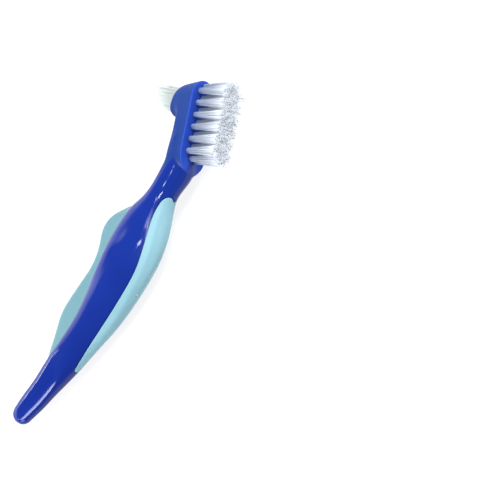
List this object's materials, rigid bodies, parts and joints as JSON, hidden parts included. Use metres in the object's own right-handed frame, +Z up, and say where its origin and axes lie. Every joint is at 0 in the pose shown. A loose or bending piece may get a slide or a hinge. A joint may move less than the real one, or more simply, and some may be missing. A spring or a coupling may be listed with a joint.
{
  "type": "denture brush",
  "caption": "Two-sided denture brush: a curved one-piece plastic handle with soft grips, a slanted oblong head of rows of tufts and one clear tuft on the rear boss.",
  "frame": {"origin": "centre of the bounding box's bottom, with the brush lying on its side", "axes": "+X along the handle from the tail to the head, -Y is the side that the main tufts point to, +Z up, across the brush's thickness"},
  "size_m": [0.1726, 0.0636, 0.017],
  "materials": {
    "body_plastic": "glossy moulded, deep blue",
    "front_grip_rubber": "satin soft elastomer, light aqua",
    "fin_rubber": "satin soft elastomer, light aqua",
    "bristle_nylon": "translucent white filaments",
    "clear_nylon": "nearly clear filaments",
    "anchor_metal": "plain drawn strip"
  },
  "bodies": {
    "root": {"handle_body": "body_plastic", "front_grip": "front_grip_rubber", "thumb_fin": "fin_rubber", "main_tuft_a1": "bristle_nylon", "main_tuft_a2": "bristle_nylon", "main_tuft_a3": "bristle_nylon", "main_tuft_a4": "bristle_nylon", "main_tuft_a5": "bristle_nylon", "main_tuft_a6": "bristle_nylon", "main_tuft_b1": "bristle_nylon", "main_tuft_b2": "bristle_nylon", "main_tuft_b3": "bristle_nylon", "main_tuft_b4": "bristle_nylon", "main_tuft_b5": "bristle_nylon", "main_tuft_b6": "bristle_nylon", "main_tuft_b7": "bristle_nylon", "main_tuft_c1": "bristle_nylon", "main_tuft_c2": "bristle_nylon", "main_tuft_c3": "bristle_nylon", "main_tuft_c4": "bristle_nylon", "main_tuft_c5": "bristle_nylon", "main_tuft_c6": "bristle_nylon", "main_tuft_c7": "bristle_nylon", "main_tuft_d1": "bristle_nylon", "main_tuft_d2": "bristle_nylon", "main_tuft_d3": "bristle_nylon", "main_tuft_d4": "bristle_nylon", "main_tuft_d5": "bristle_nylon", "main_tuft_d6": "bristle_nylon", "rear_tuft": "clear_nylon", "tuft_anchors": "anchor_metal", "rear_anchor": "anchor_metal"}
  },
  "joints": []
}
